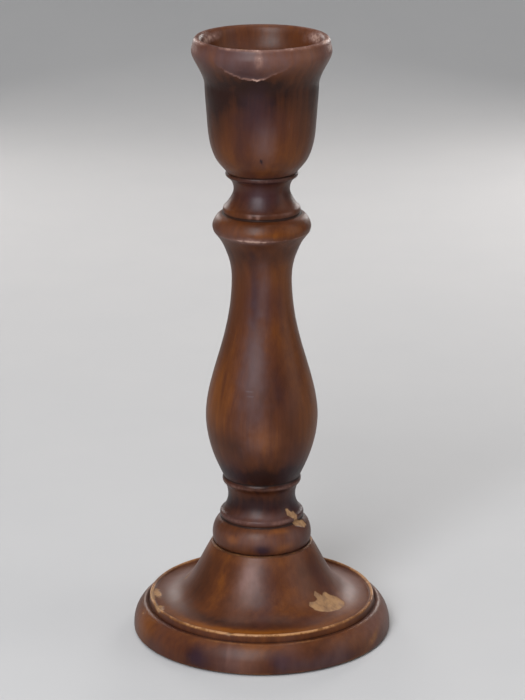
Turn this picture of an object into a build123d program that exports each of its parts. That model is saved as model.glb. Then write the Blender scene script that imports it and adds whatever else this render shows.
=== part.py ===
from build123d import *
import os

# Turned wooden candlestick: a plinth, a baluster stem and a cup, turned one by one and glued
# together with round tenons, then held by one screw driven up through the plinth.
# Millimetres, +Z up, origin on the table under the middle of the base.
# Every outline is drawn as radius and height on Plane.XZ and turned about Z.

# ---- overall ----
TOTAL_H = 250.0
FELT_T = 0.6
FELT_R = 50.5
JOINT_BASE_Z = 38.6    # shoulder where the stem sits on the plinth
JOINT_CUP_Z = 195.7    # shoulder where the cup sits on the stem

# ---- glued tenons ----
GLUE_GAP = 0.1
FOOT_TENON_R = 9.9
FOOT_TENON_L = 20.0
HEAD_TENON_R = 6.9
HEAD_TENON_L = 12.0
TENON_CHAMFER = 0.8
MORTISE_EXTRA = 0.5    # mortises are this much deeper than their tenons are long

# ---- plinth ----
RIM_R = 53.4           # widest radius of the half-round rim
RIM_BEND_R = 12.0      # radius of the rim's upper bend
RIM_BEND_Z = 2.7
RIM_FOOT_R = 0.7       # small round at the table edge
RIM_BEND_ANGLE = 49.0  # where the rim's bend tightens into its crest
RIM_CREST_R = 1.8
RIM_CREST_ANGLE = 75.0
QUIRK_R = 46.95        # bottom of the narrow groove between rim and bead
QUIRK_Z = 11.7
BEAD_OUT_R = 46.75     # raised bead between rim and cone
BEAD_SIDE_Z = 14.3
BEAD_TOP_R = 45.95
BEAD_TOP_Z = 15.3
BEAD_IN_R = 44.0       # the bead runs out into the cone here
BEAD_IN_Z = 14.2
CONE_TOP_R = 20.8

# ---- stem ----
KNOP_R = 20.4
KNOP_FOOT_R = 19.6
NECK_R = 13.85
COLLAR_R = 16.2
VASE_R = 22.9
WAIST_R = 12.2
RING_R = 19.85
UPPER_NECK_R = 11.3
HEAD_COLLAR_R = 14.6

# ---- cup ----
CUP_FOOT_R = 14.1
LIP_R = 27.9
LIP_TOP_R = 25.7
MOUTH_R = 24.4
SOCKET_R = 11.2        # takes a 22 mm (7/8 in) candle
SOCKET_TOP_Z = 236.0
SOCKET_L = 22.5
SOCKET_CHAMFER = 0.5

# ---- screw ----
SCREW_R = 2.3          # outside of the thread
SCREW_HEAD_R = 4.5
SCREW_HEAD_T = 2.6
SCREW_HEAD_RIM = 0.3   # straight edge of the head before its cone starts
SCREW_SINK = 0.6       # the head lies this far above the plinth's underside
SCREW_L = 32.0
SCREW_TIP_L = 4.0
SCREW_SLOT_W = 1.1
SCREW_SLOT_D = 1.1
SCREW_CLEAR_R = 2.5    # plain hole through the plinth
PILOT_R = 2.35         # hole in the stem's foot tenon
HEAD_GAP = 0.1         # play round the head in its countersink

foot_tenon_z = JOINT_BASE_Z - FOOT_TENON_L
foot_mortise_z = foot_tenon_z - MORTISE_EXTRA
head_tenon_z = JOINT_CUP_Z + HEAD_TENON_L
screw_z = FELT_T + SCREW_SINK


# ---------------------------------------------------------------- felt pad
# Thin baize disc glued under the plinth.
with BuildPart() as felt_pad:
    with BuildSketch(Plane.XY):
        Circle(FELT_R)
    extrude(amount=FELT_T)
felt_pad.part.label = "felt_pad"


# ---------------------------------------------------------------- plinth
# Half-round rim, a narrow groove, a raised bead, then a long cove rising to the stem.
with BuildPart() as base:
    with BuildSketch(Plane.XZ):
        with BuildLine():
            Line((0, FELT_T), (RIM_R - RIM_FOOT_R, FELT_T))
            foot_round = JernArc((RIM_R - RIM_FOOT_R, FELT_T), (1, 0), RIM_FOOT_R, 90)
            side = Line(foot_round @ 1, (RIM_R, RIM_BEND_Z))
            bend = JernArc(side @ 1, (0, 1), RIM_BEND_R, RIM_BEND_ANGLE)
            crest = JernArc(bend @ 1, bend % 1, RIM_CREST_R, RIM_CREST_ANGLE)
            quirk = Line(crest @ 1, (QUIRK_R, QUIRK_Z))
            bead_side = Line(quirk @ 1, (BEAD_OUT_R, BEAD_SIDE_Z))
            bead = Spline(
                bead_side @ 1,
                (BEAD_TOP_R, BEAD_TOP_Z),
                (BEAD_TOP_R - 0.9, BEAD_TOP_Z - 0.6),
                (BEAD_IN_R, BEAD_IN_Z),
                tangents=[(-0.1, 1.0), (-1.0, 0.06)],
            )
            cone = Bezier(
                bead @ 1,
                (29.6, 15.1),
                (27.5, 27.7),
                (CONE_TOP_R, JOINT_BASE_Z - 0.3),
            )
            cone_edge = Line(cone @ 1, (CONE_TOP_R - 0.35, JOINT_BASE_Z))
            Line(cone_edge @ 1, (0, JOINT_BASE_Z))
            Line((0, JOINT_BASE_Z), (0, FELT_T))
        make_face()
    revolve(axis=Axis.Z)
    # mortise for the stem's foot tenon
    with BuildSketch(Plane.XY.offset(foot_mortise_z)):
        Circle(FOOT_TENON_R + GLUE_GAP)
    extrude(amount=JOINT_BASE_Z - foot_mortise_z, mode=Mode.SUBTRACT)
    # screw hole with its countersink, opening downwards
    with BuildSketch(Plane.XZ):
        with BuildLine():
            Polyline(
                (0, FELT_T),
                (SCREW_HEAD_R + HEAD_GAP, FELT_T),
                (SCREW_HEAD_R + HEAD_GAP, screw_z + SCREW_HEAD_RIM),
                (SCREW_CLEAR_R, screw_z + SCREW_HEAD_T),
                (SCREW_CLEAR_R, foot_mortise_z),
                (0, foot_mortise_z),
                close=True,
            )
        make_face()
    revolve(axis=Axis.Z, mode=Mode.SUBTRACT)
base.part.label = "base"


# ---------------------------------------------------------------- stem
# Baluster: knop, fillet, neck, thin collar, vase, waist, ring, fillet, upper neck, head collar.
with BuildPart() as stem:
    with BuildSketch(Plane.XZ):
        with BuildLine():
            Polyline(
                (0, foot_tenon_z),
                (FOOT_TENON_R - TENON_CHAMFER, foot_tenon_z),
                (FOOT_TENON_R, foot_tenon_z + TENON_CHAMFER),
                (FOOT_TENON_R, JOINT_BASE_Z),
                (KNOP_FOOT_R, JOINT_BASE_Z),
            )
            knop = Spline(
                (KNOP_FOOT_R, JOINT_BASE_Z),
                (KNOP_R, 42.0),
                (19.6, 46.2),
                (16.7, 49.7),
                tangents=[(0.55, 1.0), (-0.9, 0.75)],
            )
            step_a = Line(knop @ 1, (17.0, 50.2))
            fillet_a = ThreePointArc(step_a @ 1, (17.3, 51.2), (16.95, 52.3))
            cove_a = Spline(
                fillet_a @ 1,
                (14.9, 54.7),
                (NECK_R, 58.9),
                (14.5, 62.9),
                (15.8, 64.9),
                tangents=[(-0.95, 0.5), (0.8, 0.75)],
            )
            collar = ThreePointArc(cove_a @ 1, (COLLAR_R, 66.0), (15.6, 67.4))
            vase = Spline(
                collar @ 1,
                (19.1, 75.2),
                (22.2, 86.0),
                (VASE_R, 94.0),
                (21.35, 105.6),
                (17.4, 120.0),
                (13.7, 135.0),
                (WAIST_R, 148.0),
                (13.3, 160.0),
                (15.3, 165.2),
                (19.0, 170.9),
                tangents=[(0.45, 1.0), (0.75, 0.9)],
            )
            ring_arris = Line(vase @ 1, (19.45, 171.4))
            ring = Spline(
                ring_arris @ 1,
                (RING_R, 173.2),
                (18.4, 177.1),
                (15.4, 178.9),
                tangents=[(0.15, 1.0), (-1.0, 0.35)],
            )
            step_b = Line(ring @ 1, (15.5, 179.3))
            fillet_b = ThreePointArc(step_b @ 1, (15.65, 180.3), (15.3, 181.5))
            cove_b = Spline(
                fillet_b @ 1,
                (13.3, 183.8),
                (UPPER_NECK_R, 188.4),
                (12.2, 192.0),
                (14.0, 193.8),
                tangents=[(-0.85, 0.6), (0.9, 0.55)],
            )
            head_collar = ThreePointArc(cove_b @ 1, (HEAD_COLLAR_R, 194.7), (14.2, JOINT_CUP_Z))
            Polyline(
                (14.2, JOINT_CUP_Z),
                (HEAD_TENON_R, JOINT_CUP_Z),
                (HEAD_TENON_R, head_tenon_z - TENON_CHAMFER),
                (HEAD_TENON_R - TENON_CHAMFER, head_tenon_z),
                (0, head_tenon_z),
                (0, foot_tenon_z),
            )
        make_face()
    revolve(axis=Axis.Z)
    # pilot hole for the screw
    with BuildSketch(Plane.XY.offset(foot_tenon_z)):
        Circle(PILOT_R)
    extrude(amount=screw_z + SCREW_L + 1.0 - foot_tenon_z, mode=Mode.SUBTRACT)
stem.part.label = "stem"


# ---------------------------------------------------------------- cup
# Bell-shaped nozzle: round bottom, nearly straight wall, flared lip, dished mouth, candle socket.
with BuildPart() as cup:
    with BuildSketch(Plane.XZ):
        with BuildLine():
            Line((0, JOINT_CUP_Z), (CUP_FOOT_R, JOINT_CUP_Z))
            bowl = Spline(
                (CUP_FOOT_R, JOINT_CUP_Z),
                (17.6, 200.0),
                (20.6, 207.4),
                (21.9, 219.0),
                (22.65, 230.0),
                (24.9, 237.6),
                tangents=[(0.7, 1.0), (0.5, 1.0)],
            )
            lip_under = Spline(
                bowl @ 1,
                (27.3, 242.2),
                (LIP_R, 244.8),
                tangents=[bowl % 1, (0, 1)],
            )
            lip = Spline(
                lip_under @ 1,
                (27.3, 247.7),
                (LIP_TOP_R, TOTAL_H),
                tangents=[(0, 1), (-1, 0.12)],
            )
            lip_inner = Spline(
                lip @ 1,
                (MOUTH_R, 249.2),
                (23.2, 245.6),
                tangents=[(-1, -0.12), (-0.25, -1.0)],
            )
            dish = Spline(
                lip_inner @ 1,
                (20.6, 240.2),
                (SOCKET_R + SOCKET_CHAMFER, SOCKET_TOP_Z + SOCKET_CHAMFER),
                tangents=[lip_inner % 1, (-1, -0.12)],
            )
            Polyline(
                (SOCKET_R + SOCKET_CHAMFER, SOCKET_TOP_Z + SOCKET_CHAMFER),
                (SOCKET_R, SOCKET_TOP_Z),
                (SOCKET_R, SOCKET_TOP_Z - SOCKET_L),
                (0, SOCKET_TOP_Z - SOCKET_L),
                (0, JOINT_CUP_Z),
            )
        make_face()
    revolve(axis=Axis.Z)
    # mortise for the stem's head tenon
    with BuildSketch(Plane.XY.offset(JOINT_CUP_Z)):
        Circle(HEAD_TENON_R + GLUE_GAP)
    extrude(amount=HEAD_TENON_L + MORTISE_EXTRA, mode=Mode.SUBTRACT)
cup.part.label = "cup"


# ---------------------------------------------------------------- base screw
# Slotted countersunk wood screw driven upwards; its thread is drawn at its outside size.
with BuildPart() as base_screw:
    with BuildSketch(Plane.XZ):
        with BuildLine():
            Polyline(
                (0, screw_z),
                (SCREW_HEAD_R, screw_z),
                (SCREW_HEAD_R, screw_z + SCREW_HEAD_RIM),
                (SCREW_R, screw_z + SCREW_HEAD_T),
                (SCREW_R, screw_z + SCREW_L - SCREW_TIP_L),
                (0, screw_z + SCREW_L),
                close=True,
            )
        make_face()
    revolve(axis=Axis.Z)
    with BuildSketch(Plane.XY.offset(screw_z)):
        Rectangle(2 * SCREW_HEAD_R + 1.0, SCREW_SLOT_W)
    extrude(amount=SCREW_SLOT_D, mode=Mode.SUBTRACT)
base_screw.part.label = "base_screw"


os.makedirs("parts", exist_ok=True)
export_step(felt_pad.part, "parts/felt_pad.step")
export_step(base.part, "parts/base.step")
export_step(stem.part, "parts/stem.step")
export_step(cup.part, "parts/cup.step")
export_step(base_screw.part, "parts/base_screw.step")
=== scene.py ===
"""Looks for the turned wooden candlestick: finely turned wood with its worn varnish, baize and screw."""
import math

import bmesh
import bpy
import numpy as np
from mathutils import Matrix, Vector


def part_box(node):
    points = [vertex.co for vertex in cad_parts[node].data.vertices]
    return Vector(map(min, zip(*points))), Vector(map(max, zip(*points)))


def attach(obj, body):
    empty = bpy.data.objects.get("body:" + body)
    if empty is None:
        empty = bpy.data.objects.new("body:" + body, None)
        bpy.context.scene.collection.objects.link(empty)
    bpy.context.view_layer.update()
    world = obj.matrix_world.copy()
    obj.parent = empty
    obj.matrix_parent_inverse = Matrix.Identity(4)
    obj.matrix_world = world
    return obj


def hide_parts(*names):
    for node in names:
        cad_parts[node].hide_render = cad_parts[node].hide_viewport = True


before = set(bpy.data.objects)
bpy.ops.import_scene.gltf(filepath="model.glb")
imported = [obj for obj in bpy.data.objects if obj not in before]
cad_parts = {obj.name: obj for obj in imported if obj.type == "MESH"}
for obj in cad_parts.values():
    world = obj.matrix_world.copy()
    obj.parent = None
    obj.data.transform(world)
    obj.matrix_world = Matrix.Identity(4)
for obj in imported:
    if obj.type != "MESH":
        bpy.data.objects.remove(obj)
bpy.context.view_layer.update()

MM = 0.001
JOINT_BASE_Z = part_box("base")[1].z / MM     # the stem stands on the plinth here
JOINT_CUP_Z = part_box("cup")[0].z / MM       # the cup sits on the stem here
TABLE_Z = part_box("base")[0].z / MM          # underside of the plinth


# ------------------------------------------------------------------ numbers for noise
CELL_PRIMES = np.array([73856093, 19349663, 83492791])      # large primes, so that neighbours differ
SEED_PRIME = 2654435761
STIR_PRIME = 1274126177


def hashed(cells, seed):
    """One repeatable value from -1 to 1 for each whole-number cell."""
    h = cells.astype(np.int64) @ CELL_PRIMES + seed * SEED_PRIME
    h = (h ^ (h >> 13)) * STIR_PRIME & 0xFFFFFFFF
    return ((h ^ (h >> 16)) & 0xFFFF) / 32767.5 - 1


def noise(points, cell, seed):
    """Smooth noise from -1 to 1 at points in mm; cell is the grain size in mm, one number or three."""
    q = points / np.broadcast_to(np.asarray(cell, float), (3,))
    low = np.floor(q)
    t = q - low
    t = t * t * (3 - 2 * t)
    value = np.zeros(len(points))
    for corner in np.ndindex(2, 2, 2):
        c = np.array(corner)
        weight = np.prod(np.where(c, t, 1 - t), axis=1)
        value += weight * hashed(low + c, seed)
    return value


def smooth(value, low, high):
    """0 below low, 1 above high, and an even S between."""
    t = np.clip((value - low) / (high - low), 0, 1)
    return t * t * (3 - 2 * t)


# ------------------------------------------------------------------ outlines, from the frame
SEAM_REACH = 2e-3           # mm: a vertex this near the +X half of the XZ plane is on the seam
CORNER = math.radians(22)   # an outline that turns more than this at a point has a corner there
FINE = 0.05                 # mm between samples while an outline is worked on
SOFTEN = 0.22               # mm over which sandpaper has rounded the arrises
NARROW, WIDE = 0.25, 1.0    # mm: the two widths at which convexity is felt
HIDDEN_STEP = 1.4           # mm between samples inside the joints


def seam(node):
    """The turned outline of a CAD node, as (radius, height) points in mm in order along its seam."""
    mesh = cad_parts[node].data
    co = np.array([v.co for v in mesh.vertices]) / MM
    keys = [tuple(k) for k in np.round(co, 3)]
    on_seam = (np.abs(co[:, 1]) < SEAM_REACH) & (co[:, 0] > -SEAM_REACH / 2)
    near = {}
    for edge in mesh.edges:
        a, b = edge.vertices
        if on_seam[a] and on_seam[b] and keys[a] != keys[b]:
            near.setdefault(keys[a], set()).add(keys[b])
            near.setdefault(keys[b], set()).add(keys[a])
    ends = sorted(k for k in near if len(near[k]) == 1)
    here = min(ends, key=lambda k: k[2]) if ends else min(near, key=lambda k: (k[2], k[0]))
    path = [here]
    while True:
        ahead = [k for k in sorted(near[here]) if k not in path]
        if not ahead:
            break
        here = ahead[0]
        path.append(here)
    points = [(k[0], k[2]) for k in path]
    if ends:
        return np.array([(0, points[0][1]), *points, (0, points[-1][1])]), False
    return np.array([*points, points[0]]), True


def resample(points, along, targets):
    """Points at the target lengths of a line whose points lie at the given lengths."""
    return np.stack([np.interp(targets, along, points[:, k]) for k in (0, 1)], axis=1)


def lengths(points):
    """How far along the line each of its points lies."""
    return np.concatenate([[0], np.cumsum(np.hypot(*np.diff(points, axis=0).T))])


def curved(points):
    """The same outline with smooth curves through its points, except at its corners."""
    heading = np.unwrap(np.arctan2(np.diff(points[:, 1]), np.diff(points[:, 0])))
    sharp = [0, *(np.nonzero(np.abs(np.diff(heading)) > CORNER)[0] + 1), len(points) - 1]
    out = []
    for a, b in zip(sharp[:-1], sharp[1:]):
        run = points[a : b + 1]
        s = lengths(run)
        slope = np.gradient(run, s, axis=0) if len(run) > 2 else None
        for i in range(len(run) - 1):
            h = s[i + 1] - s[i]
            t = np.arange(0, 1, min(1, FINE / h))[:, None]
            if slope is None:
                out.append(run[i] + (run[i + 1] - run[i]) * t)
                continue
            out.append(
                (2 * t**3 - 3 * t**2 + 1) * run[i]
                + (t**3 - 2 * t**2 + t) * h * slope[i]
                + (3 * t**2 - 2 * t**3) * run[i + 1]
                + (t**3 - t**2) * h * slope[i + 1]
            )
    out.append(points[-1:])
    return np.concatenate(out)


def blurred(values, sigma, closed):
    """Gaussian blur along an evenly spaced line; sigma counts samples."""
    reach = int(4 * sigma) + 1
    kernel = np.exp(-0.5 * (np.arange(-reach, reach + 1) / sigma) ** 2)
    kernel /= kernel.sum()
    if closed:
        padded = np.concatenate([values[-reach:], values, values[:reach]])
    else:
        first = 2 * values[0] - values[reach:0:-1]
        last = 2 * values[-1] - values[-2 : -reach - 2 : -1]
        padded = np.concatenate([first, values, last])
    return np.convolve(padded, kernel, mode="valid")


def turned_outline(node, spacing):
    """The outline of a node with its arrises softened, sampled finer where it bends and coarser inside.

    spacing is the distance in mm between samples where it runs straight and is in sight. Returns points
    (radius, height), their outward normals, their convexity at two widths, how far along the outline they
    lie, and whether the outline closes on itself."""
    points, closed = seam(node)
    line = curved(points)
    total = lengths(line)
    even = resample(line, total, np.arange(0, total[-1], FINE))
    soft = np.stack([blurred(even[:, k], SOFTEN / FINE, closed) for k in (0, 1)], axis=1)
    if not closed:
        soft[0], soft[-1] = even[0], even[-1]
        soft[:, 0] = np.maximum(soft[:, 0], 0)
    tangent = np.gradient(soft, axis=0)
    tangent /= np.maximum(np.hypot(*tangent.T), 1e-9)[:, None]
    area = np.sum(soft[:-1, 0] * np.diff(soft[:, 1])) - np.sum(soft[:-1, 1] * np.diff(soft[:, 0]))
    side = 1 if area > 0 else -1
    normal = np.stack([tangent[:, 1], -tangent[:, 0]], axis=1) * side
    turn = np.gradient(np.unwrap(np.arctan2(tangent[:, 1], tangent[:, 0]))) / FINE * side
    narrow = blurred(turn, NARROW / FINE, closed)
    wide = blurred(turn, WIDE / FINE, closed)
    # the step shrinks where the outline bends
    step = spacing / (1 + 1.6 * np.minimum(np.abs(narrow), 1.2))
    step = np.where(is_inside(node, soft), HIDDEN_STEP, step)
    count = np.concatenate([[0], np.cumsum(FINE / step[:-1])])
    picks = np.searchsorted(count, np.linspace(0, count[-1], int(count[-1]) + 1))
    picks = np.unique(np.clip(picks, 0, len(soft) - 1))
    if closed:
        picks = picks[:-1]
    s = np.arange(len(soft)) * FINE
    return soft[picks], normal[picks], narrow[picks], wide[picks], s[picks], closed


def is_inside(node, points):
    """True where an outline runs inside a joint or a screw hole, or lies against the baize."""
    foot_joint, head_joint, screw_hole = 17.0, 12.0, 8.0    # radii in mm that clear what they hold
    baize_reach = 44.0                                      # mm: the underside shows outside this radius
    underside = TABLE_Z + 0.5
    mortise_top = JOINT_CUP_Z + 16.0
    touching = 0.01
    r, z = points.T
    if node == "base":
        return (r < foot_joint) & (z > underside) | (r < baize_reach) & (z < underside)
    if node == "stem":
        foot = (z < JOINT_BASE_Z + touching) & (r < foot_joint)
        return foot | (z > JOINT_CUP_Z - touching) | (r < screw_hole)
    return (r < head_joint) & (z < mortise_top)


# ------------------------------------------------------------------ wear marks, stain and painted light
# Places are (azimuth, radius, height): azimuth 0 is the front, degrees grow to the right as seen from the
# front, radius and height are in mm. Sizes are in mm round the piece and along its outline, then a lean
# in radians. Each vertex carries six numbers for the material:
#   tone    stain, from -1 near black through 0 brown to 1 amber
#   plum    how far the stain has turned plum
#   haze_and_sheen  milky varnish, and painted sheen and highlights
#   wear_and_glint  varnish rubbed thin, and above about 0.5 rubbed through; also painted highlights and
#   glints
#   crease  dirt and painted shade in a hollow and along a joint
#   chip    depth inside a chip, in mm, negative outside
def polygon_depth(u, v, corners):
    """How far inside a polygon each point (u, v) lies, in mm; outside is negative."""
    corners = np.array(corners, float)
    best = np.full(len(u), 1e9)
    inside = np.zeros(len(u), bool)
    for (ax, ay), (bx, by) in zip(corners, np.roll(corners, -1, axis=0)):
        ex, ey = bx - ax, by - ay
        t = np.clip(((u - ax) * ex + (v - ay) * ey) / (ex * ex + ey * ey), 0, 1)
        best = np.minimum(best, np.hypot(u - ax - t * ex, v - ay - t * ey))
        crosses = (ay > v) != (by > v)
        at = ax + (v - ay) * ex / np.where(ey == 0, 1e-9, ey)
        inside ^= crosses & (u < at)
    return np.where(inside, best, -best)


def oval_reach(u, v, half_width, half_height, lean=0.0):
    """0 at the middle of a leaning oval, 1 on its edge."""
    c, s = math.cos(lean), math.sin(lean)
    return np.hypot((u * c + v * s) / half_width, (v * c - u * s) / half_height)


LEAF_FLAKE = [
    (-1.6, 6.4), (0.2, 4.6), (1.4, 3.2), (3.0, 4.0), (4.6, 3.9), (6.8, 1.6), (9.4, -0.8), (9.8, -4.2),
    (8.0, -5.6), (3.4, -5.6), (-1.9, -4.2), (-6.4, -1.6), (-8.0, 1.2), (-7.1, 2.6), (-4.4, 2.2), (-2.4, 2.8),
    (-3.2, 4.8),
]
LIP_MIDDLE = (0, 27.8, 246.0)
LIP_WEAR = [
    (-25.0, 5.0), (-20.0, -2.6), (-14.0, -6.9), (-9.0, -8.8), (-3.5, -9.6), (0.5, -9.0), (4.5, -6.8),
    (9.5, -5.2), (12.0, -2.5), (12.0, 4.0), (6.0, 9.0), (-10.0, 9.0),
]
COVE_CHIP = [
    (-2.0, 3.2), (-0.4, 3.0), (0.9, 1.4), (2.4, 1.2), (3.2, -1.2), (1.6, -2.6), (-0.2, -1.6), (-1.9, 0.6),
]
KNOP_CHIP = [
    (-3.4, 2.2), (-0.6, 2.6), (1.4, 1.4), (4.2, 0.2), (4.4, -2.4), (1.8, -2.6), (-0.8, -1.2), (-2.8, -0.2),
]

# where, its outline or an oval's size in mm, the depth cut into the wood, the raggedness of its edge
CHIPS = {
    "base": [
        ((51, 33.2, 18.5), LEAF_FLAKE, 0.20, 0.35),
        ((-86, 45.6, 15.2), (8.0, 1.3, 0.0), 0.40, 0.9),
        ((-69, 45.4, 15.1), (4.0, 2.3, -0.3), 0.50, 0.9),
        ((-90, 43.6, 14.6), (5.0, 1.5, 0.2), 0.22, 0.9),
        ((-16, 46.2, 15.2), (1.5, 1.3, 0.4), 0.70, 0.5),
        ((-76, 51.4, 10.8), (0.9, 0.6, 0.6), 0.20, 0.4),
        ((150, 46.0, 15.2), (3.6, 1.3, 0.1), 0.45, 0.7),
        ((206, 50.6, 11.5), (1.5, 1.0, 0.4), 0.35, 0.4),
        ((168, 53.4, 2.4), (3.6, 0.9, 0.0), 0.40, 0.5),
        ((262, 31.0, 20.5), (1.2, 2.2, 0.5), 0.15, 0.5),
    ],
    "stem": [
        ((49, 16.3, 53.4), COVE_CHIP, 0.35, 0.40),
        ((54, 17.2, 51.2), (1.3, 0.9, 0.0), 0.30, 0.40),
        ((60, 18.0, 49.0), KNOP_CHIP, 0.40, 0.40),
        ((176, 16.2, 66.2), (1.5, 0.7, 0.0), 0.35, 0.4),
        ((205, 19.7, 174.2), (1.8, 1.1, 0.4), 0.35, 0.5),
    ],
    "cup": [
        ((-17, 25.8, 250.0), (0.8, 0.5, 0.0), 0.22, 0.3),
        ((-13, 25.9, 249.9), (0.5, 0.4, 0.0), 0.20, 0.3),
        ((160, 26.6, 248.9), (2.4, 1.0, 0.1), 0.30, 0.6),
    ],
}

ALL_ROUND = 1e3     # as a patch's width: it runs right round the piece
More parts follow.
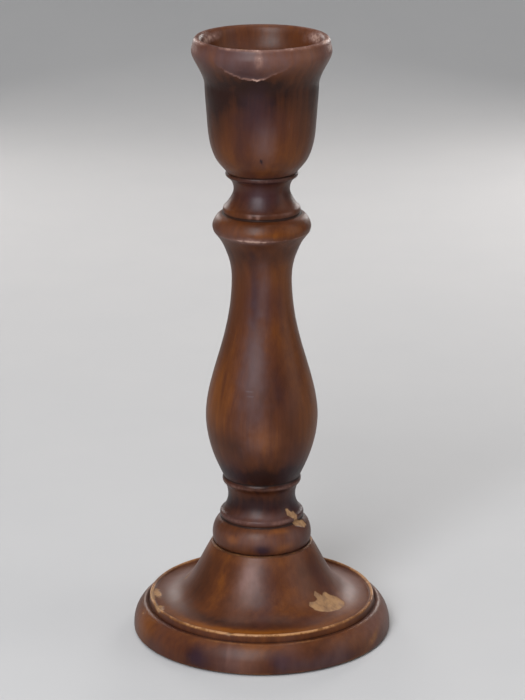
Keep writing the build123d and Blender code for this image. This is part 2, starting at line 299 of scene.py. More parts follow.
# soft patches of stain and wear, of painted highlights and sheen, and of painted shade: where, how large,
# then what changes there
ZONES = {
    "base": [
        # cove and cone
        ((-20, 43.0, 14.3), (28, 2.3), dict(tone=1.35, plum=-0.5, haze_and_sheen=-0.2)),
        # painted shade across the front of the cove
        ((-24, 38.0, 15.8), (22, 2.6), dict(tone=-0.60)),
        ((0, 21.5, 36.5), (ALL_ROUND, 2.6), dict(tone=0.30)),
        ((36, 26.5, 25.5), (8.0, 9.0), dict(haze_and_sheen=0.18, tone=0.15)),
        ((35, 42.5, 14.4), (18, 2.0), dict(tone=0.35)),
        ((-38, 27.0, 24.5), (3.6, 9.0), dict(tone=0.60)),
        ((-62, 30.0, 21.0), (4.5, 8.0), dict(tone=-0.35)),
        # painted highlight down the front of the cone
        ((-12, 23.4, 30.0), (4.4, 8.0), dict(haze_and_sheen=0.85)),
        ((20, 27.0, 25.0), (4.0, 8.0), dict(tone=0.10)),
        ((8, 36.5, 16.6), (8.0, 3.2), dict(tone=-0.30, plum=0.10, haze_and_sheen=-0.2)),
        # painted sheen on the right of the cove and cone
        ((100, 35.0, 17.2), (24, 8.0), dict(haze_and_sheen=0.30)),
        ((105, 28.0, 23.4), (9.0, 5.0), dict(haze_and_sheen=0.80)),
        ((116, 38.0, 16.0), (14, 6.0), dict(haze_and_sheen=0.60)),
        # painted sheen on the left of the cove
        ((-116, 38.0, 16.0), (12, 6.0), dict(haze_and_sheen=0.45)),
        ((-3, 31.4, 20.2), (3.2, 4.5), dict(haze_and_sheen=-0.40, tone=0.15)),
        # painted sheen on the left of the cove and cone
        ((-108, 35.0, 17.2), (24, 8.0), dict(haze_and_sheen=0.26)),
        ((-105, 28.5, 23.0), (8.0, 5.0), dict(haze_and_sheen=0.70)),
        ((30, 38.5, 15.7), (9.0, 3.6), dict(plum=0.35, tone=-0.1)),
        # painted sheen on the right of the cove
        ((74, 41.0, 15.0), (12, 5.0), dict(haze_and_sheen=0.25, tone=0.2)),
        # rim
        # painted rim light on the right and left sides of the rim
        ((83, 51.8, 8.6), (11, 4.2), dict(haze_and_sheen=0.42)),
        ((-78, 52.4, 7.4), (8.0, 3.8), dict(haze_and_sheen=0.30)),
        ((-12, 49.8, 12.2), (26, 2.2), dict(tone=0.40)),
        ((-62, 52.4, 8.6), (17, 5.0), dict(tone=0.45)),
        ((60, 51.0, 11.0), (15, 4.0), dict(haze_and_sheen=0.25)),
        ((-29, 53.3, 5.0), (5.0, 4.4), dict(tone=-0.80, plum=1.1)),
        ((9, 53.2, 6.6), (6.0, 3.8), dict(tone=-0.40, plum=1.1)),
        ((-11, 53.4, 4.2), (7.0, 4.6), dict(haze_and_sheen=0.44)),
        ((26, 53.3, 2.6), (22, 2.6), dict(tone=-0.5, plum=0.35)),
        ((30, 53.3, 4.5), (11, 3.8), dict(haze_and_sheen=0.12, plum=0.50, tone=-0.6)),
        ((61, 52.9, 5.6), (7.5, 1.8, 0.42), dict(tone=0.6, wear_and_glint=0.42)),
        ((66, 52.3, 8.4), (12, 4.4), dict(haze_and_sheen=0.38)),
        ((-15, 51.9, 10.0), (0.8, 4.6), dict(haze_and_sheen=0.26)),
        # groove, bead and shoulder
        ((0, 47.4, 12.0), (ALL_ROUND, 1.2), dict(tone=-0.55, wear_and_glint=-0.30)),
        ((-6, 46.0, 15.1), (16, 1.0), dict(wear_and_glint=0.30)),
        ((-80, 45.8, 15.1), (16, 1.2), dict(wear_and_glint=0.40)),
        ((0, 43.6, 14.3), (ALL_ROUND, 1.6), dict(crease=-0.45)),
        # painted highlight on the right corner of the cone's top
        ((92, 20.6, 38.6), (2.0, 0.9), dict(wear_and_glint=0.8)),
        # behind
        ((185, 46.0, 14.8), (22, 2.4), dict(tone=0.6, wear_and_glint=0.25)),
        ((160, 53.0, 7.0), (16, 4.0), dict(haze_and_sheen=0.3, plum=0.3)),
        ((215, 30.0, 21.0), (6.0, 9.0), dict(tone=0.45)),
    ],
    "stem": [
        # darker bands that run round the spindle
        ((0, 18.0, 71.0), (ALL_ROUND, 5.5), dict(tone=-1.0)),
        ((0, 14.6, 57.5), (ALL_ROUND, 5.5), dict(tone=-0.90, plum=0.25)),
        ((0, 14.4, 164.5), (ALL_ROUND, 4.5), dict(tone=-0.40)),
        ((0, 12.0, 187.0), (ALL_ROUND, 5.0), dict(tone=-0.42, plum=0.30)),
        ((0, 14.3, 194.5), (ALL_ROUND, 1.6), dict(tone=-0.45)),
        # vase and waist
        ((-2, 22.7, 89.5), (6.4, 6.4), dict(tone=1.0, haze_and_sheen=0.30)),
        ((-60, 22.5, 104.0), (10, 16), dict(tone=0.44)),
        ((-36, 22.2, 86.0), (12, 5.0), dict(tone=-0.55)),
        ((62, 22.5, 100.0), (12, 22), dict(tone=0.42)),
        # painted highlight down the vase
        ((-12, 21.0, 118.0), (6.0, 26), dict(haze_and_sheen=0.46, plum=0.35)),
        # painted highlight down the upper neck
        ((4, 12.4, 150.0), (2.2, 15), dict(haze_and_sheen=0.32)),
        ((19, 20.5, 112.0), (4.0, 12), dict(tone=-0.28, plum=0.30)),
        ((-49, 21.4, 110.0), (1.0, 9.0), dict(tone=-0.55)),
        ((-14, 12.3, 148.0), (1.5, 20), dict(tone=-0.25, plum=0.42)),
        ((-60, 12.3, 150.0), (7.0, 22), dict(tone=0.05)),
        ((55, 12.3, 150.0), (7.0, 22), dict(tone=0.38)),
        # ring, fillet and upper neck
        ((8, 19.4, 175.2), (9.0, 3.0), dict(tone=0.35, haze_and_sheen=-0.10)),
        # painted shade that dulls the lamp's highlight on the top of the ring
        ((-4, 18.6, 176.8), (5.5, 1.8), dict(tone=-0.20, haze_and_sheen=-0.35, plum=-0.4)),
        # painted highlight crescent under the ring
        ((-16, 19.3, 171.2), (10, 1.5), dict(wear_and_glint=0.60, haze_and_sheen=0.50)),
        # painted highlight on the neck under the cup
        ((-6, 12.2, 187.0), (2.6, 5.0), dict(haze_and_sheen=0.32, plum=0.3)),
        # two painted glints on the fillet over the ring
        ((-18, 15.6, 180.3), (1.0, 1.1), dict(wear_and_glint=0.50)),
        ((-6, 15.6, 180.3), (0.9, 1.1), dict(wear_and_glint=0.60)),
        ((2, 19.5, 173.6), (12, 1.6), dict(tone=0.35)),
        ((-40, 19.8, 173.6), (9.0, 3.6), dict(haze_and_sheen=0.25)),
        # foot: neck, fillet and knop
        # painted highlights on the fillet over the knop and on the knop's front
        ((-2, 16.2, 53.5), (12, 2.4), dict(haze_and_sheen=0.40, tone=0.35)),
        ((-4, 20.2, 45.2), (9.0, 2.2), dict(haze_and_sheen=0.32, tone=0.3)),
        ((0, 17.2, 51.4), (ALL_ROUND, 1.6), dict(haze_and_sheen=0.12, plum=0.35)),
        # painted highlight round the knop
        ((0, 20.0, 44.0), (ALL_ROUND, 3.5), dict(haze_and_sheen=0.20, tone=0.1)),
        ((1, 20.2, 41.6), (3.4, 2.2), dict(tone=-0.9, plum=1.0, haze_and_sheen=-0.3)),
        ((-37, 20.2, 44.6), (3.0, 1.7), dict(tone=0.9)),
        ((30, 20.3, 41.8), (4.2, 1.7), dict(tone=0.7)),
        ((24, 18.4, 48.4), (5.0, 1.2), dict(tone=0.7)),
        # behind
        ((170, 22.6, 96.0), (9.0, 8.0), dict(tone=0.7)),
        ((215, 21.0, 112.0), (4.0, 14), dict(tone=-0.4, plum=0.4)),
        ((140, 12.3, 146.0), (3.0, 16), dict(tone=-0.3, plum=0.4)),
    ],
    "cup": [
        # body, from dark under the lip to lighter at its foot
        ((0, 22.4, 232.0), (ALL_ROUND, 8.0), dict(tone=-0.62, plum=-0.35, haze_and_sheen=-0.1)),
        ((0, 22.6, 225.0), (ALL_ROUND, 14.0), dict(tone=-0.30)),
        ((-4, 22.4, 226.5), (8.5, 10.0), dict(tone=-0.10, plum=1.05)),
        ((-34, 22.3, 222.0), (3.6, 8.0), dict(tone=0.12)),
        ((-66, 22.2, 221.0), (9.0, 9.0), dict(tone=-0.40, haze_and_sheen=-0.2)),
        ((27, 22.3, 221.0), (5.0, 6.5), dict(tone=0.28)),
        ((-12, 23.6, 236.0), (10, 3.0), dict(tone=-0.50)),
        ((0, 21.8, 213.0), (ALL_ROUND, 18.0), dict(haze_and_sheen=-0.14, plum=-0.22)),
        # painted highlight down the front of the cup
        ((4, 21.8, 212.0), (5.0, 9.0), dict(haze_and_sheen=0.54, tone=0.45)),
        ((-24, 21.6, 210.0), (3.4, 9.0), dict(plum=0.35, tone=-0.1)),
        ((-55, 20.6, 205.0), (12, 9.0), dict(tone=0.26)),
        ((42, 20.6, 205.5), (11, 8.0), dict(tone=0.42)),
        ((0, 17.0, 199.0), (9.0, 3.0), dict(tone=0.30)),
        # lip and mouth
        # painted highlight along the roll of the lip
        ((0, 27.8, 245.6), (ALL_ROUND, 5.4), dict(haze_and_sheen=0.45, tone=0.45)),
        ((0, 23.4, 240.0), (ALL_ROUND, 3.4), dict(tone=-0.22)),
        # painted highlights on the inner walls of the mouth
        ((114, 23.7, 247.2), (7.5, 2.4), dict(wear_and_glint=0.85, haze_and_sheen=0.3)),
        ((-115, 23.8, 247.2), (6.5, 1.9), dict(wear_and_glint=1.00, haze_and_sheen=0.3)),
        # painted highlight streak on the front of the lip
        ((-2, 27.6, 246.0), (1.7, 3.6), dict(wear_and_glint=0.66)),
        # painted rim light on the right and left ends of the lip
        ((79, 27.6, 246.8), (9.0, 3.8), dict(haze_and_sheen=0.40, wear_and_glint=0.72)),
        ((-72, 27.7, 246.3), (7.0, 3.4), dict(haze_and_sheen=0.18, wear_and_glint=0.42)),
        # behind
        ((180, 22.2, 224.0), (14, 9.0), dict(tone=-0.2, plum=0.6)),
        ((200, 20.8, 207.0), (10, 8.0), dict(tone=0.45)),
    ],
}
# small dark bruises: where, size, depth
BRUISES = {
    "base": [
        ((100, 53.2, 6.0), (1.2, 0.5, 0.3), 0.15),
        ((-130, 51.6, 9.8), (0.7, 1.4, 0.3), 0.15),
    ],
    "stem": [
        ((150, 22.6, 98.0), (0.5, 1.6, 0.2), 0.12),
        ((-1, 19.0, 170.9), (0.6, 0.5, 0.0), 0.10),
    ],
    "cup": [
        ((-0.5, 19.3, 204.2), (0.45, 1.3, 0.25), 0.25),
        ((120, 21.6, 216.0), (0.5, 1.5, -0.2), 0.15),
    ],
}
# hair scratches that only dull the varnish
SCRATCHES = {
    "base": [
        ((152, 24.5, 28.0), (0.35, 3.4, 0.2)),
        ((-140, 52.8, 7.5), (4.0, 0.35, 0.15)),
    ],
    "stem": [
        ((-14, 22.0, 109.8), (2.0, 0.34, -0.1)),
        ((-13, 22.1, 108.0), (1.7, 0.34, 0.1)),
        ((200, 22.7, 92.0), (3.0, 0.35, 0.4)),
    ],
    "cup": [
        ((30, 21.9, 218.0), (0.3, 3.0, 0.1)),
        ((-150, 21.4, 212.0), (2.5, 0.35, 0.3)),
    ],
}
# how readily the arrises wear through, and where the rim crest, the stem and the lip also take a painted
# highlight line: place on the outline (radius, height), reach in mm, weight
ARRISES = {
    "base": [
        (46.1, 15.1, 1.3, 0.72),    # bead
        (20.6, 38.5, 1.0, 0.25),    # shoulder under the stem
        (49.6, 12.9, 1.6, 0.30),    # crest of the rim
        (53.2, 0.9, 1.2, 0.20),     # foot
    ],
    "stem": [
        (17.2, 51.2, 1.6, 0.22),    # fillet over the knop
        (16.2, 66.0, 1.6, 0.28),    # collar under the vase
        (19.4, 171.4, 1.6, 0.45),   # underside of the ring
        (15.6, 180.3, 1.6, 0.24),   # fillet over the ring
        (14.6, 194.7, 1.5, 0.16),   # head collar
    ],
    # the lip's top arris: wear and a painted highlight line
    "cup": [(26.2, 249.7, 1.6, 0.40)],
}
SOUND_ARRIS = 0.08      # weight of every other arris
# how much dirt and painted shade stays in the hollows
GRIME_AND_SHADE = {"base": 0.42, "stem": 0.85, "cup": 0.8}
KNOCKS = 22             # dents on each piece
CHIP_REACH = 3.0        # mm: depths inside and outside a chip are kept within this


def dents(points, seed, centres):
    """Seeded knocks all over: how deep each vertex is pushed in, in mm."""
    rng = np.random.default_rng(seed)
    depth = np.zeros(len(points))
    for centre in centres[rng.integers(0, len(centres), KNOCKS)]:
        width = rng.uniform(0.7, 2.4)
        push = rng.uniform(0.02, 0.09)
        stretch = rng.uniform(0.5, 1.0, 3)
        d = np.linalg.norm((points - centre) / (width * stretch), axis=1)
        depth = np.maximum(depth, push * (1 - smooth(d, 0.2, 1.0)))
    return depth


class Wear:
    """Works out, vertex by vertex, the stain, the wear, the painted highlights and shade, and the relief of
    one piece.
    """

    def __init__(self, node, outline, s, points, azimuth, length, narrow, wide, outer):
        self.node, self.outline, self.s = node, outline, s
        self.points, self.azimuth, self.length, self.outer = points, azimuth, length, outer
        self.upward = 1 if outline[-1, 1] >= outline[0, 1] else -1
        self.tone = 0.30 * noise(points, (16, 16, 26), 5) + 0.10 * noise(points, (6, 6, 12), 6)
        self.plum = 0.45 * smooth(noise(points, (13, 13, 24), 7), 0.1, 0.8)
        self.haze_and_sheen = 0.16 * smooth(noise(points, (11, 11, 20), 8), 0.0, 0.9)
        self.relief = 0.050 * noise(points, 15.0, 11) + 0.018 * noise(points, 5.5, 12)
        self.arrises(narrow, wide)
        for place, size, change in ZONES[node]:
            self.zone(place, size, change)
        self.marks()

    def near(self, place):
        """Distances in mm round the piece and along its outline from a place."""
        degrees, radius, height = place
        at = np.argmin(np.hypot(self.outline[:, 0] - radius, self.outline[:, 1] - height))
        turn = (self.azimuth - math.radians(degrees) + math.pi) % (2 * math.pi) - math.pi
        return turn * self.outline[at, 0], (self.length - self.s[at]) * self.upward

    def arrises(self, narrow, wide):
        """Convex arrises wear, and some take painted highlight lines; hollow creases and the joints take
        dirt and painted shade.
        """
        weight = np.full(len(self.points), SOUND_ARRIS)
        for radius, height, reach, amount in ARRISES[self.node]:
            away = self.near((0, radius, height))[1]
            weight = np.maximum(weight, amount * np.exp(-((away / reach) ** 2)))
        edge = smooth(narrow, 0.10, 0.7) + 0.35 * smooth(wide, 0.1, 0.3)
        patchy = 0.80 + 0.65 * noise(self.points, 9.0, 3) + 0.35 * noise(self.points, 2.6, 4)
        self.wear_and_glint = np.clip(edge, 0, 1.3) * weight * np.clip(patchy, 0.15, 1.4)
        # dirt and painted shade in hollow creases, then painted shade along the joints between the pieces
        self.crease = GRIME_AND_SHADE[self.node] * (smooth(-narrow, 0.12, 0.7) + 0.5 * smooth(-wide, 0.06, 0.3))
        for joint in (JOINT_BASE_Z, JOINT_CUP_Z):
            self.crease += 0.8 * np.exp(-(((self.points[:, 2] - joint) / 0.7) ** 2))

    def zone(self, place, size, change):
        """A soft patch with a wandering edge."""
        u, v = self.near(place)
        wander = 0.22 * noise(self.points, 4.0, 41) + 0.14 * noise(self.points, 1.7, 42)
        if size[0] >= ALL_ROUND:
            reach = np.abs(v) / size[1]
        else:
            reach = oval_reach(u, v, *size)
        amount = np.exp(-(np.clip(reach + wander, 0, 4) ** 2)) * self.outer
        for label, value in change.items():
            setattr(self, label, getattr(self, label) + value * amount)

    def marks(self):
        """Chips, bruises, scratches and knocks, cut into the relief and marked for the material."""
        points = self.points
        self.chip = np.full(len(points), -CHIP_REACH)
        for index, (place, shape, cut, ragged) in enumerate(CHIPS[self.node]):
            u, v = self.near(place)
            if isinstance(shape, list):
                depth = polygon_depth(u, v, shape)
            else:
                depth = (1 - oval_reach(u, v, *shape)) * min(shape[:2])
            rough = noise(points, 1.3, 31 + index) + 0.5 * noise(points, 0.55, 57 + index)
            depth = np.where(self.outer, depth + 0.6 * ragged * rough, -CHIP_REACH)
            self.relief -= cut * (0.8 + 0.2 * noise(points, 2.5, 21)) * smooth(depth, -0.15, 0.45)
            self.chip = np.maximum(self.chip, np.clip(depth, -CHIP_REACH, CHIP_REACH))
        for place, shape, cut in BRUISES[self.node]:
            hollow = self.outer * (1 - smooth(oval_reach(*self.near(place), *shape), 0.4, 1.3))
            self.relief -= cut * hollow
            self.tone -= 1.6 * hollow
            # the bruise's hollow also takes dirt and painted shade
            self.crease += 0.8 * hollow
        for place, shape in SCRATCHES[self.node]:
            line = self.outer * (1 - smooth(oval_reach(*self.near(place), *shape), 0.5, 1.2))
            self.relief -= 0.02 * line
            self.haze_and_sheen += 0.38 * line
        if self.node == "cup":
            self.lip_front()
        self.relief -= dents(points, len(self.node), points[self.outer])

    def lip_front(self):
        """The varnish has gone milky over the front of the lip and ends below in a ragged, curled edge."""
        u, v = self.near(LIP_MIDDLE)
        ragged = 0.45 * noise(self.points, 1.6, 61) + 0.25 * noise(self.points, 0.6, 62)
        depth = np.where(self.outer, polygon_depth(u, v, LIP_WEAR) + ragged, -CHIP_REACH)
        sides = np.exp(-np.clip(np.abs(u + 4) / 17, 0, 3) ** 4)
        inside = smooth(depth, -0.1, 0.35) * sides
        left = 1 - smooth(u, -5, 3)
        self.haze_and_sheen += (0.32 - 0.16 * left) * inside * (0.8 + 0.2 * noise(self.points, 5.0, 63))
        self.plum += 0.65 * inside * left
        low_band = inside * (1 - smooth(depth, 0.4, 2.6)) * (v < -2.5) * np.exp(-(((u + 6) / 9) ** 2))
        self.haze_and_sheen += 0.35 * low_band
        curl = smooth(depth, -0.3, 0.0) * (1 - smooth(depth, 0.35, 1.1)) * (v < -2.5) * sides
        lively = smooth(noise(self.points, (2.6, 2.6, 1.2), 64), -0.5, 0.5)
        self.wear_and_glint += curl * (0.25 + 0.95 * np.exp(-(((u + 5) / 8) ** 2))) * (0.45 + 0.65 * lively)
        self.relief -= 0.22 * smooth(depth, -0.1, 1.0)
        self.relief += 0.07 * curl * lively


# ------------------------------------------------------------------ turning a piece
MATERIAL_NUMBERS = ("tone", "plum", "haze_and_sheen", "wear_and_glint", "crease", "chip")
MOUTH_FLOOR = 40.0      # mm above the cup's foot: from here up, the inside of the mouth is in sight
FACES_IN = -0.2         # an outline whose normal points inward more than this is inside a hole
FACES_UP = 0.2          # and one that points upward more than this is the inner side of the bead


def lathe_faces(rings, segments, closed):
    """Which points of the rings are kept, and the faces between them.

    The first and the last ring of an open outline lie on the axis, and each keeps one point."""
    number = np.arange(rings * segments).reshape(rings, segments)
    keep = np.ones(rings * segments, bool)
    for ring in [] if closed else [0, rings - 1]:
        number[ring] = number[ring][0]
        keep[number[ring][0] + 1 : number[ring][0] + segments] = False
    compact = np.cumsum(keep) - 1
    faces = []
    for i in range(rings if closed else rings - 1):
        a, b = compact[number[i]], compact[number[(i + 1) % rings]]
        for j in range(segments):
            k = (j + 1) % segments
            face = [a[j], a[k], b[k], b[j]]
            faces.append([v for n, v in enumerate(face) if v != face[n - 1]])
    return keep, faces


def turned(node, name, segments, spacing):
    """A finely turned mesh of a wooden node, with hand-sanded unevenness, chips, rubs and dents.

    segments counts the steps round the piece, spacing is the distance in mm between rings."""
    outline, normal, narrow, wide, s, closed = turned_outline(node, spacing)
    rings = len(outline)
    angle = np.arange(segments) * 2 * math.pi / segments
    azimuth = np.tile(angle, rings)
    r = np.repeat(outline[:, 0], segments)
    z = np.repeat(outline[:, 1], segments)
    n_r = np.repeat(normal[:, 0], segments)
    n_z = np.repeat(normal[:, 1], segments)
    points = np.stack([r * np.sin(azimuth), -r * np.cos(azimuth), z], axis=1)
    normals = np.stack([n_r * np.sin(azimuth), -n_r * np.cos(azimuth), n_z], axis=1)
    length = np.repeat(s, segments)
    shown = np.repeat(~is_inside(node, outline), segments).astype(float)

    seen = (normal[:, 0] > FACES_IN) | (outline[:, 1] > JOINT_CUP_Z + MOUTH_FLOOR)
    seen |= (normal[:, 1] > FACES_UP) & (outline[:, 1] < JOINT_BASE_Z)
    outer = np.repeat(seen, segments) & (shown > 0)
    narrow, wide = np.repeat(narrow, segments), np.repeat(wide, segments)
    wear = Wear(node, outline, s, points, azimuth, length, narrow, wide, outer)
    # raised fibres, tool marks round the piece, and arrises rubbed down where they are worn
    relief = wear.relief + 0.008 * noise(points, (0.8, 0.8, 9.0), 13)
    ring_marks = noise(np.stack([length, 0 * length, 0 * length], axis=1), (0.7, 1, 1), 14)
    relief += 0.005 * ring_marks * (0.6 + 0.4 * noise(points, 12.0, 15))
    relief -= 0.10 * wear.wear_and_glint * (0.6 + 0.4 * noise(points, 2.2, 16))
    points = points + normals * (relief * shown)[:, None]

    keep, faces = lathe_faces(rings, segments, closed)
    if not closed:
        for ring in (0, rings - 1):
            points[ring * segments] = (0, 0, outline[ring, 1])
    mesh = bpy.data.meshes.new(name)
    mesh.from_pydata((points[keep] * MM).tolist(), [], faces)
    mesh.update()
    for label in MATERIAL_NUMBERS:
        layer = mesh.attributes.new(label, "FLOAT", "POINT")
        layer.data.foreach_set("value", getattr(wear, label)[keep].astype(np.float32))
    mesh.validate()
    if sum(f.area * f.normal.dot(f.center) for f in mesh.polygons) < 0:
        mesh.flip_normals()
    mesh.polygons.foreach_set("use_smooth", [True] * len(mesh.polygons))
    piece = bpy.data.objects.new(name, mesh)
    bpy.context.scene.collection.objects.link(piece)
    return piece


# ------------------------------------------------------------------ materials
class Shader:
    """A material and short ways to add nodes to it."""

    def __init__(self, name):
        self.material = bpy.data.materials.new(name)
        self.material.use_nodes = True
        self.tree = self.material.node_tree
        self.tree.nodes.clear()
        self.out = self.tree.nodes.new("ShaderNodeOutputMaterial")
        self.bsdf = self.tree.nodes.new("ShaderNodeBsdfPrincipled")
        self.tree.links.new(self.bsdf.outputs[0], self.out.inputs[0])
        coordinates = self.tree.nodes.new("ShaderNodeTexCoord")
        self.mm = self.vector("SCALE", coordinates.outputs["Object"], scale=1 / MM)

    def put(self, socket, value):
        """Links a socket to a node's output, or sets it to a number or a colour."""
        if hasattr(value, "links"):
            self.tree.links.new(value, socket)
        else:
            socket.default_value = value

    def vector(self, operation, a, b=None, scale=None):
        node = self.tree.nodes.new("ShaderNodeVectorMath")
        node.operation = operation
        self.put(node.inputs[0], a)
        if b is not None:
            self.put(node.inputs[1], b)
        if scale is not None:
            self.put(node.inputs["Scale"], scale)
        return node.outputs["Value" if operation == "LENGTH" else "Vector"]

    def math(self, operation, a, b=0.0):
        node = self.tree.nodes.new("ShaderNodeMath")
        node.operation = operation
        self.put(node.inputs[0], a)
        self.put(node.inputs[1], b)
        return node.outputs[0]

    def noise(self, at, size, detail=3.0, rough=0.55):
        """Noise from 0 to 1; size is the grain in mm along x, y and z."""
        node = self.tree.nodes.new("ShaderNodeTexNoise")
        node.normalize = True
        self.put(node.inputs["Vector"], self.vector("DIVIDE", at, size))
        node.inputs["Scale"].default_value = 1.0
        node.inputs["Detail"].default_value = detail
        node.inputs["Roughness"].default_value = rough
        return node.outputs["Fac"]

    def ramp(self, value, low, high, start=0.0, end=1.0):
        """start below low, end above high, an S between."""
        node = self.tree.nodes.new("ShaderNodeMapRange")
        node.interpolation_type = "SMOOTHSTEP"
        for label, number in (
            ("Value", value), ("From Min", low), ("From Max", high), ("To Min", start), ("To Max", end)
        ):
            self.put(node.inputs[label], number)
        return node.outputs[0]

    def mix(self, factor, a, b):
        """Colour a turning to colour b as the factor goes from 0 to 1."""
        node = self.tree.nodes.new("ShaderNodeMix")
        node.data_type = "RGBA"
        node.clamp_factor = True
        self.put(node.inputs[0], factor)
        self.put(node.inputs[6], a if hasattr(a, "links") else (*a, 1))
        self.put(node.inputs[7], b if hasattr(b, "links") else (*b, 1))
        return node.outputs[2]

    def attribute(self, name):
        """One of the numbers that the mesh carries at each vertex."""
        node = self.tree.nodes.new("ShaderNodeAttribute")
        node.attribute_name = name
        return node.outputs["Fac"]

    def bump(self, height, distance, strength=1.0):
        """A bumped normal; distance is the depth of the relief in metres."""
        node = self.tree.nodes.new("ShaderNodeBump")
        node.inputs["Strength"].default_value = strength
        node.inputs["Distance"].default_value = distance
        self.put(node.inputs["Height"], height)
        return node.outputs[0]


# colours of the wood: the stain where it lies dark, even, thin and bluish, then raw wood, and dirt with
# painted shade
DARK = (0.0170, 0.0036, 0.0014)
BROWN = (0.0820, 0.0225, 0.0055)
AMBER = (0.1900, 0.0560, 0.0060)
PLUM = (0.0265, 0.0098, 0.0175)
BARE = (0.3750, 0.2150, 0.1020)
BARE_DULL = (0.2350, 0.1330, 0.0720)
DIRT_AND_SHADE = (0.0095, 0.0042, 0.0032)
RING_WIDTH = 3.1        # mm of growth in a year
TRUNK_BEND = 11.0       # mm by which the growth rings wander along the trunk


def stained_wood(name, pith, film_and_sheen, rubbed_and_glint_colour, bare_and_glint_colour):
    """Stained, varnished hardwood with upright grain. pith is a point on the tree's centre line, in mm.

    The film colour is that of milky varnish and of painted sheen and highlights; the rubbed and the bare
    colours are those of an arris where the varnish is thin and where it is gone, and of painted highlights
    and glints."""
    m = Shader(name)
    # growth rings: distance from the pith line, bent a little along the trunk
    drift = m.noise(m.mm, (26.0, 26.0, 90.0), 2.0)
    centred = m.vector("SUBTRACT", m.mm, pith)
    across = m.vector("MULTIPLY", centred, (1, 1, 0))
    distance = m.math("ADD", m.vector("LENGTH", across), m.math("MULTIPLY", drift, TRUNK_BEND))
    ring = m.math("FRACT", m.math("DIVIDE", distance, RING_WIDTH))
    late = m.math("MULTIPLY", m.ramp(ring, 0.15, 0.86), m.ramp(ring, 1.0, 0.9))
    fibre = m.noise(m.mm, (0.5, 0.5, 16.0), 4.0, 0.55)
    streak = m.noise(m.mm, (2.4, 2.4, 44.0), 3.0, 0.5)
    pores = m.ramp(m.noise(m.mm, (0.18, 0.18, 3.0), 2.0, 0.5), 0.62, 0.74)

    # stain
    tone = m.attribute("tone")
    for part, weight in ((streak, 0.75), (fibre, 0.42)):
        tone = m.math("ADD", tone, m.math("MULTIPLY", m.math("SUBTRACT", part, 0.5), weight))
    tone = m.math("SUBTRACT", tone, m.math("MULTIPLY", late, 0.10))
    colour = m.mix(m.math("ADD", tone, 1.0), DARK, BROWN)
    colour = m.mix(tone, colour, AMBER)
    plum = m.math("MULTIPLY", m.attribute("plum"), 0.75)
    colour = m.mix(plum, colour, PLUM)
    colour = m.mix(m.math("MULTIPLY", pores, 0.30), colour, DARK)

    # milky varnish and painted sheen, dirt and painted shade in the hollows, thin varnish, bare wood and
    # painted highlights on the arrises
    fine = m.noise(m.mm, (1.5, 1.5, 1.5), 4.0, 0.55)
    cloudy = m.noise(m.mm, (3.4, 3.4, 9.0), 3.0, 0.5)
    haze_and_sheen = m.math("MULTIPLY", m.attribute("haze_and_sheen"), m.ramp(cloudy, 0.25, 0.75, 0.7, 1.15))
    colour = m.mix(haze_and_sheen, colour, film_and_sheen)
    crease = m.math("MULTIPLY", m.attribute("crease"), m.ramp(fine, 0.25, 0.7, 0.6, 1.1))
    grime_and_shade = m.ramp(crease, 0.15, 0.95, 0.0, 0.80)
    colour = m.mix(grime_and_shade, colour, DIRT_AND_SHADE)
    wear_and_glint = m.attribute("wear_and_glint")
    wear_and_glint = m.math("MULTIPLY", wear_and_glint, m.ramp(fine, 0.2, 0.8, 0.55, 1.45))
    rub_and_glint = m.ramp(wear_and_glint, 0.05, 0.62, 0.0, 0.85)
    colour = m.mix(rub_and_glint, colour, rubbed_and_glint_colour)
    bare_and_glint = m.ramp(wear_and_glint, 0.52, 1.0, 0.0, 0.9)
    colour = m.mix(bare_and_glint, colour, bare_and_glint_colour)

    # chips down to raw wood
    ragged = m.math("MULTIPLY", m.math("SUBTRACT", fine, 0.5), 0.45)
    chip = m.math("ADD", m.attribute("chip"), ragged)
    raw = m.ramp(chip, -0.24, 0.34)
    raw_mottle = m.noise(m.mm, (3.0, 3.0, 6.0), 4.0, 0.6)
    raw_colour = m.mix(m.ramp(raw_mottle, 0.32, 0.66), BARE_DULL, BARE)
    stain_left = m.ramp(m.noise(m.mm, (1.1, 1.1, 3.0), 3.0, 0.55), 0.42, 0.30)
    left = m.math("SUBTRACT", 0.94, m.math("MULTIPLY", stain_left, 0.35))
    colour = m.mix(m.math("MULTIPLY", raw, left), colour, raw_colour)
    m.put(m.bsdf.inputs["Base Color"], colour)

    # satin varnish, duller on dirt and painted shade, on milky varnish and painted sheen, and on raw wood,
    # over open pores
    rough = m.ramp(fibre, 0.3, 0.8, 0.40, 0.50)
    rough = m.math("ADD", rough, m.math("MULTIPLY", m.ramp(cloudy, 0.3, 0.7), 0.06))
    for mask, amount in ((grime_and_shade, 0.25), (haze_and_sheen, 0.05), (raw, 0.30)):
        rough = m.math("ADD", rough, m.math("MULTIPLY", mask, amount))
    m.put(m.bsdf.inputs["Roughness"], m.math("MINIMUM", rough, 0.9))

    height = m.math("SUBTRACT", m.math("MULTIPLY", fibre, 0.5), m.math("MULTIPLY", pores, 0.5))
    height = m.math("ADD", height, m.math("MULTIPLY", fine, 0.25))
    m.put(m.bsdf.inputs["Normal"], m.bump(height, 0.00005, 0.8))
    m.bsdf.inputs["Specular IOR Level"].default_value = 0.15
    m.bsdf.inputs["Coat Weight"].default_value = 0.12
    m.bsdf.inputs["Coat Roughness"].default_value = 0.30
    return m.material


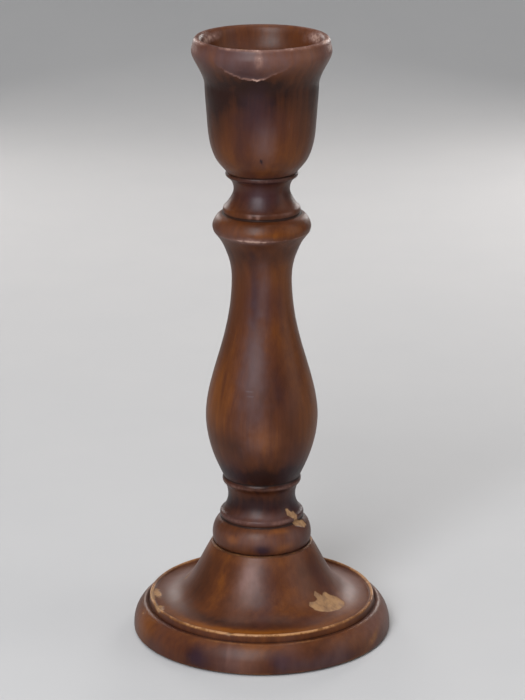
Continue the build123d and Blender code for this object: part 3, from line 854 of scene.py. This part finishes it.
def baize():
    """Short matted green wool, flattened and dusty where the candlestick stands on its rim."""
    m = Shader("baize")
    fluff = m.noise(m.mm, (0.5, 0.5, 0.5), 6.0, 0.7)
    swirl = m.noise(m.mm, (5.0, 5.0, 5.0), 2.0)
    curl = m.vector("ADD", m.mm, m.vector("SCALE", m.vector("ADD", (0, 0, 0), swirl), scale=3.0))
    strand = m.ramp(m.noise(curl, (0.35, 3.4, 1.0), 3.0, 0.6), 0.56, 0.70)
    other = m.ramp(m.noise(curl, (3.0, 0.32, 1.0), 3.0, 0.6), 0.57, 0.70)
    mottled = m.noise(m.mm, (8.0, 8.0, 8.0), 4.0, 0.6)
    colour = m.mix(m.ramp(fluff, 0.3, 0.7), (0.0045, 0.0170, 0.0075), (0.0190, 0.0620, 0.0260))
    colour = m.mix(m.math("MULTIPLY", strand, 0.6), colour, (0.050, 0.115, 0.055))
    colour = m.mix(m.math("MULTIPLY", other, 0.5), colour, (0.030, 0.085, 0.040))
    colour = m.mix(m.ramp(mottled, 0.42, 0.72, 0.0, 0.55), colour, (0.040, 0.046, 0.028))
    from_middle = m.vector("LENGTH", m.vector("MULTIPLY", m.mm, (1, 1, 0)))
    dusty = m.math("MULTIPLY", m.ramp(from_middle, 40.0, 49.0), m.ramp(mottled, 0.3, 0.7, 0.2, 0.75))
    colour = m.mix(dusty, colour, (0.060, 0.058, 0.042))
    m.put(m.bsdf.inputs["Base Color"], colour)
    m.put(m.bsdf.inputs["Roughness"], m.ramp(fluff, 0.2, 0.8, 0.88, 1.0))
    m.bsdf.inputs["Specular IOR Level"].default_value = 0.2
    m.bsdf.inputs["Sheen Weight"].default_value = 0.15
    m.bsdf.inputs["Sheen Roughness"].default_value = 0.5
    height = m.math("ADD", fluff, m.math("MULTIPLY", m.math("ADD", strand, other), 0.5))
    m.put(m.bsdf.inputs["Normal"], m.bump(height, 0.0004))
    return m.material


def screw_steel():
    """Zinc-plated steel, dulled, with lathe lines and a little tarnish."""
    m = Shader("screw_steel")
    tarnish = m.noise(m.mm, (2.2, 2.2, 2.2), 5.0, 0.65)
    lines = m.noise(m.mm, (3.0, 3.0, 0.12), 2.0)
    colour = m.mix(m.ramp(tarnish, 0.4, 0.7), (0.50, 0.48, 0.44), (0.24, 0.20, 0.16))
    m.put(m.bsdf.inputs["Base Color"], colour)
    m.bsdf.inputs["Metallic"].default_value = 1.0
    m.put(m.bsdf.inputs["Roughness"], m.ramp(tarnish, 0.3, 0.8, 0.32, 0.6))
    m.put(m.bsdf.inputs["Normal"], m.bump(lines, 0.00005))
    return m.material


# ------------------------------------------------------------------ pieces
def place(piece, node, slot, material):
    """Gives a piece its material and lets it stand for a CAD node of the one rigid body."""
    piece.data.materials.clear()
    piece.data.materials.append(material)
    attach(piece, "root")
    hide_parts(node)


# thin varnish and bare wood on the arrises of the plinth, then of the stem and the cup, which also colour
# painted highlights and glints; milky varnish, which also colours painted sheen and highlights
TAN = (0.2100, 0.0860, 0.0260)
TAN_BARE = (0.4000, 0.2050, 0.0900)
ROSE = (0.1900, 0.0980, 0.0760)
ROSE_BARE = (0.4200, 0.2700, 0.2150)
LILAC_FILM_AND_SHEEN = (0.1080, 0.0680, 0.0710)
PINK_FILM_AND_SHEEN = (0.1850, 0.0950, 0.0760)

place(
    turned("base", "turned_plinth", 352, 0.42), "base", "base_wood",
    stained_wood("plinth_wood", (-33.0, 30.0, 0.0), PINK_FILM_AND_SHEEN, TAN, TAN_BARE),
)
place(
    turned("stem", "turned_stem", 216, 0.50), "stem", "stem_wood",
    stained_wood("stem_wood", (-31.0, 26.0, 0.0), LILAC_FILM_AND_SHEEN, ROSE, ROSE_BARE),
)
place(
    turned("cup", "turned_cup", 256, 0.36), "cup", "cup_wood",
    stained_wood("cup_wood", (34.0, 30.0, 0.0), LILAC_FILM_AND_SHEEN, ROSE, ROSE_BARE),
)


def felt():
    """The baize disc: cut by hand, so its edge wanders a little and its faces are softly uneven."""
    low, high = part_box("felt_pad")
    radius, thickness = high.x / MM, (high.z - low.z) / MM
    segments, rings = 180, 26
    wander = 0.004          # share of the radius by which the cut strays
    pressed = 0.1           # mm by which the cut edge is flattened, above and below
    verts, faces = [], []
    for level in (0.0, thickness):
        for i in range(rings + 1):
            share = i / rings
            for j in range(segments):
                a = 2 * math.pi * j / segments
                cut = 1 - wander * (1 + math.sin(5 * a) * math.cos(3 * a + 1))
                r = radius * share * cut
                verts.append((r * math.sin(a), -r * math.cos(a), level))
    points = np.array(verts)
    under = np.arange(len(points)) < len(points) // 2
    nap = np.abs(noise(points, 1.2, 77)) * 0.07 + np.abs(noise(points, 8.0, 78)) * 0.05
    edge = np.hypot(points[:, 0], points[:, 1]) > 0.975 * radius
    points[:, 2] += np.where(under, nap + pressed * edge, -pressed * edge)
    layer = (rings + 1) * segments
    for i in range(rings):
        for j in range(segments):
            k = (j + 1) % segments
            a, b = i * segments + j, i * segments + k
            c, d = (i + 1) * segments + k, (i + 1) * segments + j
            faces.append((a, d, c, b) if i else (a, d, c))
            a, b, c, d = layer + a, layer + b, layer + c, layer + d
            faces.append((a, b, c, d) if i else (a, c, d))
    for j in range(segments):
        k = (j + 1) % segments
        a, b = rings * segments + j, rings * segments + k
        faces.append((a, layer + a, layer + b, b))
    mesh = bpy.data.meshes.new("baize_disc")
    mesh.from_pydata((points * MM).tolist(), [], faces)
    # the points that meet in the middle of each side become one
    grid = bmesh.new()
    grid.from_mesh(mesh)
    bmesh.ops.remove_doubles(grid, verts=grid.verts, dist=0.01 * MM)
    grid.to_mesh(mesh)
    grid.free()
    piece = bpy.data.objects.new("baize_disc", mesh)
    bpy.context.scene.collection.objects.link(piece)
    return piece, radius * MM


disc, disc_radius = felt()
place(disc, "felt_pad", "felt", baize())

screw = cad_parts["base_screw"]
screw.data.materials.clear()
screw.data.materials.append(screw_steel())


# ------------------------------------------------------------------ floor, light, camera
def sweep():
    """A pale paper sweep: flat floor that curves up behind."""
    mesh = bpy.data.meshes.new("paper_sweep")
    verts = []
    steps, wide, bend = 24, 3.0, 0.8
    front, back, top = -2.5, 0.9, 3.0
    line = [(front, 0.0), (back, 0.0)]
    line += [
        (back + bend * math.sin(a), bend - bend * math.cos(a))
        for a in np.linspace(0, math.pi / 2, steps)[1:]
    ]
    line.append((back + bend, top))
    for y, z in line:
        verts += [(-wide, y, z), (wide, y, z)]
    faces = [(2 * i, 2 * i + 1, 2 * i + 3, 2 * i + 2) for i in range(len(line) - 1)]
    mesh.from_pydata(verts, [], faces)
    mesh.polygons.foreach_set("use_smooth", [True] * len(faces))
    floor = bpy.data.objects.new("paper_sweep", mesh)
    bpy.context.scene.collection.objects.link(floor)
    m = Shader("pale_paper")
    paper = m.mix(m.noise(m.mm, (60, 60, 60)), (0.50, 0.50, 0.50), (0.53, 0.525, 0.52))
    m.put(m.bsdf.inputs["Base Color"], paper)
    m.bsdf.inputs["Roughness"].default_value = 0.9
    mesh.materials.append(m.material)


# name, place in metres, size in metres, power in watts, colour
SOFTBOXES = [
    ("key_box", (-0.40, -1.22, 1.00), (0.75, 1.1), 28.0, (0.94, 0.96, 1.0)),
    ("fill_box", (1.2, -0.2, 0.6), (0.8, 1.2), 4.8, (1.0, 0.97, 0.94)),
    ("left_box", (-1.2, 0.0, 0.6), (0.8, 1.2), 0.9, (1.0, 0.97, 0.94)),
    ("back_right_box", (0.40, 0.85, 0.36), (0.22, 0.34), 2.3, (1.0, 0.96, 0.94)),
    ("back_left_box", (-0.40, 0.85, 0.36), (0.22, 0.34), 1.7, (1.0, 0.96, 0.94)),
    ("top_box", (0.0, 0.1, 1.6), (1.0, 1.0), 8.0, (1.0, 1.0, 1.0)),
]
LIT_POINT = (0.0, 0.0, 0.13)        # all of them face the middle of the candlestick


def softbox(name, at, size, power, colour):
    """A soft studio light that faces the candlestick."""
    data = bpy.data.lights.new(name, "AREA")
    data.shape = "RECTANGLE"
    data.size, data.size_y = size
    data.energy = power
    data.color = colour
    lamp = bpy.data.objects.new(name, data)
    lamp.location = at
    direction = np.array(LIT_POINT) - np.array(at)
    yaw = math.atan2(direction[1], direction[0]) - math.pi / 2
    pitch = math.atan2(direction[2], math.hypot(direction[0], direction[1])) + math.pi / 2
    lamp.rotation_euler = (pitch, 0, yaw)
    bpy.context.scene.collection.objects.link(lamp)


sweep()
for row in SOFTBOXES:
    softbox(*row)
ROOM_COLOUR, ROOM_STRENGTH = (0.72, 0.73, 0.76, 1), 0.10
world = bpy.data.worlds.new("studio")
world.use_nodes = True
background = world.node_tree.nodes["Background"]
background.inputs["Color"].default_value = ROOM_COLOUR
background.inputs["Strength"].default_value = ROOM_STRENGTH
bpy.context.scene.world = world
bpy.context.scene.view_settings.view_transform = "Standard"

CAMERA_AT = (0.0003, -1.0853, 0.4630)
LOOKS_DOWN = 17.5       # degrees
SENSOR, LENS = 36.0, 143.9          # mm
camera_data = bpy.data.cameras.new("camera")
camera_data.sensor_width = SENSOR
camera_data.lens = LENS
camera = bpy.data.objects.new("camera", camera_data)
camera.location = CAMERA_AT
camera.rotation_euler = (math.radians(90 - LOOKS_DOWN), 0, 0)
bpy.context.scene.collection.objects.link(camera)
bpy.context.scene.camera = camera
